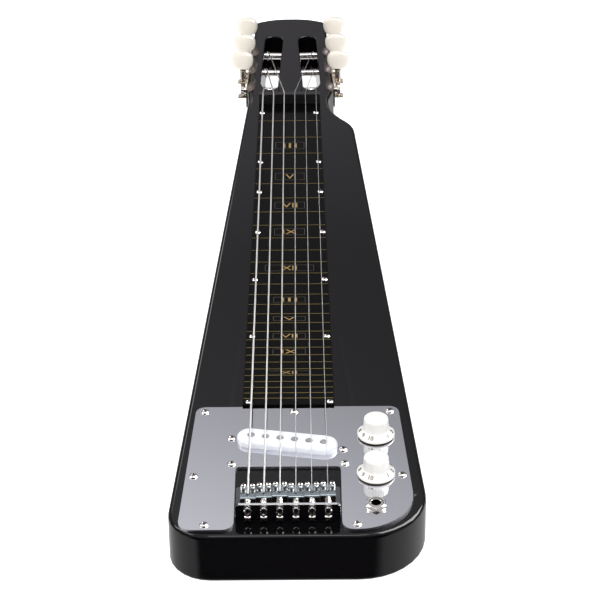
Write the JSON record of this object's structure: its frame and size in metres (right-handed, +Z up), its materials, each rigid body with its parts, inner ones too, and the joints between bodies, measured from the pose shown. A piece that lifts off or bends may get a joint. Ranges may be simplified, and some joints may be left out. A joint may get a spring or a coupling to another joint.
{
  "type": "lap steel guitar",
  "caption": "Lap steel guitar: tapered black plank body with chrome control plate, slanted single-coil pickup, top-loaded bridge, tall nut and slotted head with upright open-gear tuners.",
  "frame": {"origin": "on the flat back, below the point where the theoretical saddle line crosses the string centre line", "axes": "+Y to the head, +Z up through the strings, +X to the treble side, where the knobs are"},
  "size_m": [0.1751, 0.7958, 0.0642],
  "materials": {
    "black_lacquer": "gloss black lacquer over wood",
    "black_board": "gloss, with pale fret lines and position marks",
    "black_plastic": "satin",
    "mirror_chrome": "polished",
    "satin_chrome": "satin",
    "screw_steel": "polished nickel-plated steel",
    "white_plastic": "satin white",
    "parchment_plastic": "satin off-white",
    "cream_plastic": "pearly cream on a nickel-plated shaft",
    "wound_string": "fine wound wire",
    "plain_string": "plain bright wire",
    "aged_nickel": "aged nickel plate",
    "potentiometer_steel": "dull plated steel"
  },
  "bodies": {
    "instrument": {"body": "black_lacquer", "fretboard": "black_board", "nut": "black_plastic", "control_plate": "mirror_chrome", "plate_screw_1": "screw_steel", "plate_screw_2": "screw_steel", "plate_screw_3": "screw_steel", "plate_screw_4": "screw_steel", "plate_screw_5": "screw_steel", "plate_screw_6": "screw_steel", "plate_screw_7": "screw_steel", "plate_screw_8": "screw_steel", "plate_screw_9": "screw_steel", "pickup_screw_1": "screw_steel", "pickup_screw_2": "screw_steel", "bridge_plate": "mirror_chrome", "string_1": "wound_string", "string_2": "wound_string", "string_3": "wound_string", "string_4": "plain_string", "string_5": "plain_string", "string_6": "plain_string", "volume_potentiometer": "potentiometer_steel", "tone_potentiometer": "potentiometer_steel", "jack_socket": "screw_steel", "jack_washer": "screw_steel", "jack_nut": "screw_steel", "tuner_plate_left": "aged_nickel", "tuner_plate_right": "aged_nickel"},
    "pickup": {"pickup_cover": "white_plastic", "pickup_bobbin": "potentiometer_steel"},
    "volume_control": {"volume_knob": "parchment_plastic", "volume_shaft": "aged_nickel"},
    "tone_control": {"tone_knob": "parchment_plastic", "tone_shaft": "aged_nickel"},
    "intonation_screw_1": {"intonation_screw_1": "screw_steel"},
    "saddle_1": {"saddle_1": "satin_chrome"},
    "intonation_screw_2": {"intonation_screw_2": "screw_steel"},
    "saddle_2": {"saddle_2": "satin_chrome"},
    "intonation_screw_3": {"intonation_screw_3": "screw_steel"},
    "saddle_3": {"saddle_3": "satin_chrome"},
    "intonation_screw_4": {"intonation_screw_4": "screw_steel"},
    "saddle_4": {"saddle_4": "satin_chrome"},
    "intonation_screw_5": {"intonation_screw_5": "screw_steel"},
    "saddle_5": {"saddle_5": "satin_chrome"},
    "intonation_screw_6": {"intonation_screw_6": "screw_steel"},
    "saddle_6": {"saddle_6": "satin_chrome"},
    "tuner_1": {"tuner_button_1": "cream_plastic"},
    "roller_1": {"string_roller_1": "screw_steel"},
    "tuner_2": {"tuner_button_2": "cream_plastic"},
    "roller_2": {"string_roller_2": "screw_steel"},
    "tuner_3": {"tuner_button_3": "cream_plastic"},
    "roller_3": {"string_roller_3": "screw_steel"},
    "tuner_4": {"tuner_button_4": "cream_plastic"},
    "roller_4": {"string_roller_4": "screw_steel"},
    "tuner_5": {"tuner_button_5": "cream_plastic"},
    "roller_5": {"string_roller_5": "screw_steel"},
    "tuner_6": {"tuner_button_6": "cream_plastic"},
    "roller_6": {"string_roller_6": "screw_steel"}
  },
  "joints": [
    {"name": "pickup_height", "type": "slide", "parent": "instrument", "child": "pickup", "axis": [0, 0, 1], "range_m": [-0.002, 0.002]},
    {"name": "volume_turn", "type": "hinge", "parent": "instrument", "child": "volume_control", "pos_m": [0.0617, 0.069, 0.0398], "axis": [0, 0, 1], "range_deg": [-150, 150]},
    {"name": "tone_turn", "type": "hinge", "parent": "instrument", "child": "tone_control", "pos_m": [0.0604, 0.0226, 0.0398], "axis": [0, 0, 1], "range_deg": [-150, 150]},
    {"name": "saddle_1_slide", "type": "slide", "parent": "instrument", "child": "saddle_1", "axis": [0, 1, 0], "range_m": [-0.003, 0.002], "deforming": ["string_1"]},
    {"name": "intonation_screw_1_turn", "type": "hinge", "parent": "instrument", "child": "intonation_screw_1", "pos_m": [-0.027, -0.026, 0.0472], "axis": [0, 1, 0], "range_deg": [-1030, 1545]},
    {"name": "saddle_2_slide", "type": "slide", "parent": "instrument", "child": "saddle_2", "axis": [0, 1, 0], "range_m": [-0.003, 0.002], "deforming": ["string_2"]},
    {"name": "intonation_screw_2_turn", "type": "hinge", "parent": "instrument", "child": "intonation_screw_2", "pos_m": [-0.0162, -0.026, 0.0472], "axis": [0, 1, 0], "range_deg": [-1030, 1545]},
    {"name": "saddle_3_slide", "type": "slide", "parent": "instrument", "child": "saddle_3", "axis": [0, 1, 0], "range_m": [-0.003, 0.002], "deforming": ["string_3"]},
    {"name": "intonation_screw_3_turn", "type": "hinge", "parent": "instrument", "child": "intonation_screw_3", "pos_m": [-0.0054, -0.026, 0.0472], "axis": [0, 1, 0], "range_deg": [-1030, 1545]},
    {"name": "saddle_4_slide", "type": "slide", "parent": "instrument", "child": "saddle_4", "axis": [0, 1, 0], "range_m": [-0.003, 0.002], "deforming": ["string_4"]},
    {"name": "intonation_screw_4_turn", "type": "hinge", "parent": "instrument", "child": "intonation_screw_4", "pos_m": [0.0054, -0.026, 0.0472], "axis": [0, 1, 0], "range_deg": [-1030, 1545]},
    {"name": "saddle_5_slide", "type": "slide", "parent": "instrument", "child": "saddle_5", "axis": [0, 1, 0], "range_m": [-0.003, 0.002], "deforming": ["string_5"]},
    {"name": "intonation_screw_5_turn", "type": "hinge", "parent": "instrument", "child": "intonation_screw_5", "pos_m": [0.0162, -0.026, 0.0472], "axis": [0, 1, 0], "range_deg": [-1030, 1545]},
    {"name": "saddle_6_slide", "type": "slide", "parent": "instrument", "child": "saddle_6", "axis": [0, 1, 0], "range_m": [-0.003, 0.002], "deforming": ["string_6"]},
    {"name": "intonation_screw_6_turn", "type": "hinge", "parent": "instrument", "child": "intonation_screw_6", "pos_m": [0.027, -0.026, 0.0472], "axis": [0, 1, 0], "range_deg": [-1030, 1545]},
    {"name": "tuner_1_turn", "type": "hinge", "parent": "instrument", "child": "tuner_1", "pos_m": [-0.04207, 0.62739, 0.0272], "axis": [0, 0, 1], "continuous": true},
    {"name": "roller_1_turn", "type": "hinge", "parent": "instrument", "child": "roller_1", "pos_m": [-0.03737, 0.61999, 0.029], "axis": [0.9991, -0.0419, 0], "continuous": true},
    {"name": "tuner_2_turn", "type": "hinge", "parent": "instrument", "child": "tuner_2", "pos_m": [-0.0406, 0.66236, 0.0272], "axis": [0, 0, 1], "continuous": true},
    {"name": "roller_2_turn", "type": "hinge", "parent": "instrument", "child": "roller_2", "pos_m": [-0.03591, 0.65496, 0.029], "axis": [0.9991, -0.0419, 0], "continuous": true},
    {"name": "tuner_3_turn", "type": "hinge", "parent": "instrument", "child": "tuner_3", "pos_m": [-0.03913, 0.69733, 0.0272], "axis": [0, 0, 1], "continuous": true},
    {"name": "roller_3_turn", "type": "hinge", "parent": "instrument", "child": "roller_3", "pos_m": [-0.03444, 0.68993, 0.029], "axis": [0.9991, -0.0419, 0], "continuous": true},
    {"name": "tuner_4_turn", "type": "hinge", "parent": "instrument", "child": "tuner_4", "pos_m": [0.04033, 0.69733, 0.0272], "axis": [0, 0, 1], "continuous": true},
    {"name": "roller_4_turn", "type": "hinge", "parent": "instrument", "child": "roller_4", "pos_m": [0.03564, 0.68993, 0.029], "axis": [0.9991, 0.0419, 0], "continuous": true},
    {"name": "tuner_5_turn", "type": "hinge", "parent": "instrument", "child": "tuner_5", "pos_m": [0.0418, 0.66236, 0.0272], "axis": [0, 0, 1], "continuous": true},
    {"name": "roller_5_turn", "type": "hinge", "parent": "instrument", "child": "roller_5", "pos_m": [0.03711, 0.65496, 0.029], "axis": [0.9991, 0.0419, 0], "continuous": true},
    {"name": "tuner_6_turn", "type": "hinge", "parent": "instrument", "child": "tuner_6", "pos_m": [0.04327, 0.62739, 0.0272], "axis": [0, 0, 1], "continuous": true},
    {"name": "roller_6_turn", "type": "hinge", "parent": "instrument", "child": "roller_6", "pos_m": [0.03857, 0.61999, 0.029], "axis": [0.9991, 0.0419, 0], "continuous": true}
  ],
  "couplings": [
    {"joint": "intonation_screw_1_turn", "follows": "saddle_1_slide", "rad_per_m": -8976},
    {"joint": "intonation_screw_2_turn", "follows": "saddle_2_slide", "rad_per_m": -8976},
    {"joint": "intonation_screw_3_turn", "follows": "saddle_3_slide", "rad_per_m": -8976},
    {"joint": "intonation_screw_4_turn", "follows": "saddle_4_slide", "rad_per_m": -8976},
    {"joint": "intonation_screw_5_turn", "follows": "saddle_5_slide", "rad_per_m": -8976},
    {"joint": "intonation_screw_6_turn", "follows": "saddle_6_slide", "rad_per_m": -8976},
    {"joint": "roller_1_turn", "follows": "tuner_1_turn", "ratio": -0.071429},
    {"joint": "roller_2_turn", "follows": "tuner_2_turn", "ratio": -0.071429},
    {"joint": "roller_3_turn", "follows": "tuner_3_turn", "ratio": -0.071429},
    {"joint": "roller_4_turn", "follows": "tuner_4_turn", "ratio": -0.071429},
    {"joint": "roller_5_turn", "follows": "tuner_5_turn", "ratio": -0.071429},
    {"joint": "roller_6_turn", "follows": "tuner_6_turn", "ratio": -0.071429}
  ]
}
